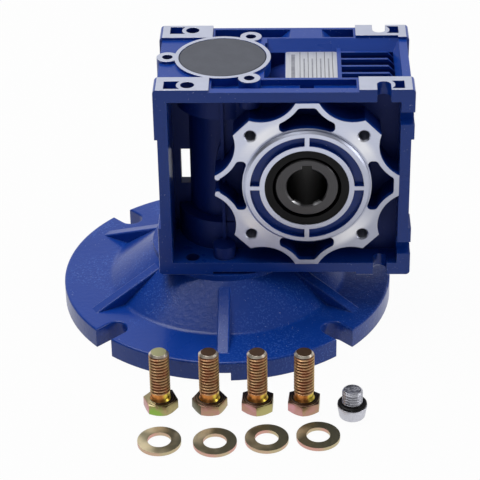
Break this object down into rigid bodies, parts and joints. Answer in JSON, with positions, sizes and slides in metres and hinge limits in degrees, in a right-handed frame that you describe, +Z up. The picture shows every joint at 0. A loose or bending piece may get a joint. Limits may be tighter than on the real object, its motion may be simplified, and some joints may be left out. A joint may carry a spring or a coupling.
{
  "type": "worm gear reducer",
  "caption": "Right-angle worm gear reducer: square cast housing with star-shaped output faces and a hollow keyed output bore, standing on a round ribbed motor bell.",
  "frame": {"origin": "on the worm axis, in the plane of the bell's face that meets the motor, which is also the face that the part stands on", "axes": "+Z up along the worm axis away from the motor, output bore along Y with its open front face towards -Y, output axis on the +X side"},
  "size_m": [0.1725, 0.2242, 0.13],
  "materials": {
    "blue_paint": "gloss, cast texture",
    "machined_aluminium": "machined",
    "dark_steel": "ground and oiled",
    "bearing_steel": "polished",
    "bronze": "machined bronze",
    "black_rubber": "matt",
    "grey_cap": "satin",
    "zinc_steel": "yellow zinc",
    "plate_foil": "satin",
    "bright_aluminium": "turned",
    "black_steel": "black oxide"
  },
  "bodies": {
    "casing": {"housing": "blue_paint", "side_cover": "blue_paint", "cover_screws": "black_steel", "cover_o_ring": "black_rubber", "output_seal_front": "black_rubber", "output_seal_rear": "black_rubber", "input_seal": "black_rubber", "front_bearing_outer_ring": "bearing_steel", "rear_bearing_outer_ring": "bearing_steel", "top_bearing_outer_ring": "bearing_steel", "base_bearing_outer_ring": "bearing_steel", "worm_end_cap": "grey_cap", "circlip": "dark_steel", "motor_bell": "blue_paint", "bell_screws": "black_steel", "filler_plug": "bright_aluminium", "label_plate": "plate_foil", "motor_bolts": "zinc_steel", "motor_washers": "zinc_steel", "vent_plug": "bright_aluminium", "vent_o_ring": "black_rubber"},
    "wheel": {"output_shaft": "dark_steel", "bronze_rim": "bronze", "front_bearing_inner_ring": "bearing_steel", "rear_bearing_inner_ring": "bearing_steel"},
    "worm_set": {"worm": "dark_steel", "top_bearing_inner_ring": "bearing_steel", "base_bearing_inner_ring": "bearing_steel"},
    "output_ball_sets": {"front_bearing_balls": "bearing_steel", "rear_bearing_balls": "bearing_steel"},
    "top_ball_set": {"top_bearing_balls": "bearing_steel"},
    "base_ball_set": {"base_bearing_balls": "bearing_steel"}
  },
  "joints": [
    {"name": "output_spin", "type": "hinge", "parent": "casing", "child": "wheel", "pos_m": [0.04, 0, 0.08], "axis": [0, 1, 0], "continuous": true},
    {"name": "worm_spin", "type": "hinge", "parent": "casing", "child": "worm_set", "pos_m": [0, 0, 0.08], "axis": [0, 0, 1], "continuous": true},
    {"name": "output_ball_spin", "type": "hinge", "parent": "casing", "child": "output_ball_sets", "pos_m": [0.04, 0, 0.08], "axis": [0, 1, 0], "continuous": true},
    {"name": "top_ball_spin", "type": "hinge", "parent": "casing", "child": "top_ball_set", "pos_m": [0, 0, 0.08], "axis": [0, 0, 1], "continuous": true},
    {"name": "base_ball_spin", "type": "hinge", "parent": "casing", "child": "base_ball_set", "pos_m": [0, 0, 0.08], "axis": [0, 0, 1], "continuous": true}
  ],
  "couplings": [
    {"joint": "worm_spin", "follows": "output_spin", "ratio": -30},
    {"joint": "output_ball_spin", "follows": "output_spin", "ratio": 0.4176},
    {"joint": "top_ball_spin", "follows": "output_spin", "ratio": -12.018},
    {"joint": "base_ball_spin", "follows": "output_spin", "ratio": -12.87}
  ]
}
